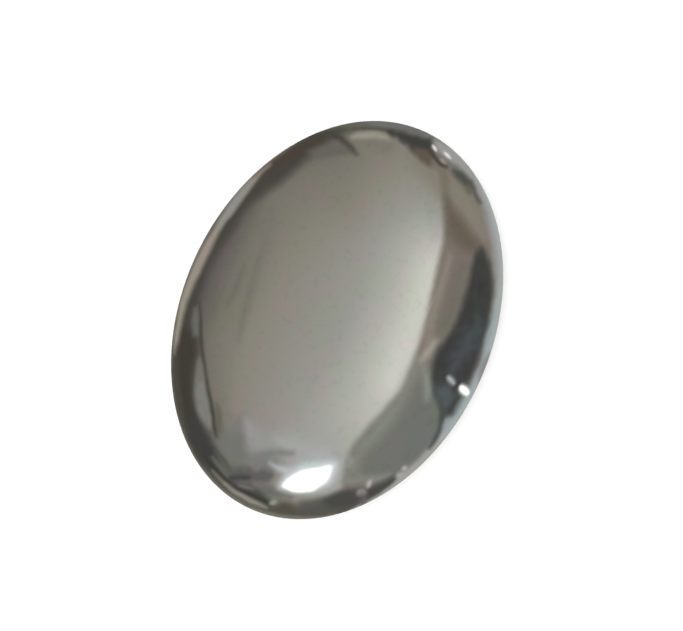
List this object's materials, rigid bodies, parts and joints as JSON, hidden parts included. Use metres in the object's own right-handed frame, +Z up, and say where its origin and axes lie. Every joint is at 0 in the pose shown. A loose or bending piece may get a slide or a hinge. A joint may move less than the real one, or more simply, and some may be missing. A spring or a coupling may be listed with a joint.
{
  "type": "polished pyrite stone",
  "caption": "Oval polished pyrite stone: a mirror-bright dome over a shallow rounded underside, resting on a small flat spot.",
  "frame": {"origin": "middle of the small flat spot that the stone rests on", "axes": "+X along the stone's length, +Y along its width, +Z up through the top of the dome"},
  "size_m": [0.04, 0.03, 0.0092],
  "materials": {
    "polished_pyrite": "polished"
  },
  "bodies": {
    "root": {"pyrite_stone": "polished_pyrite"}
  },
  "joints": []
}
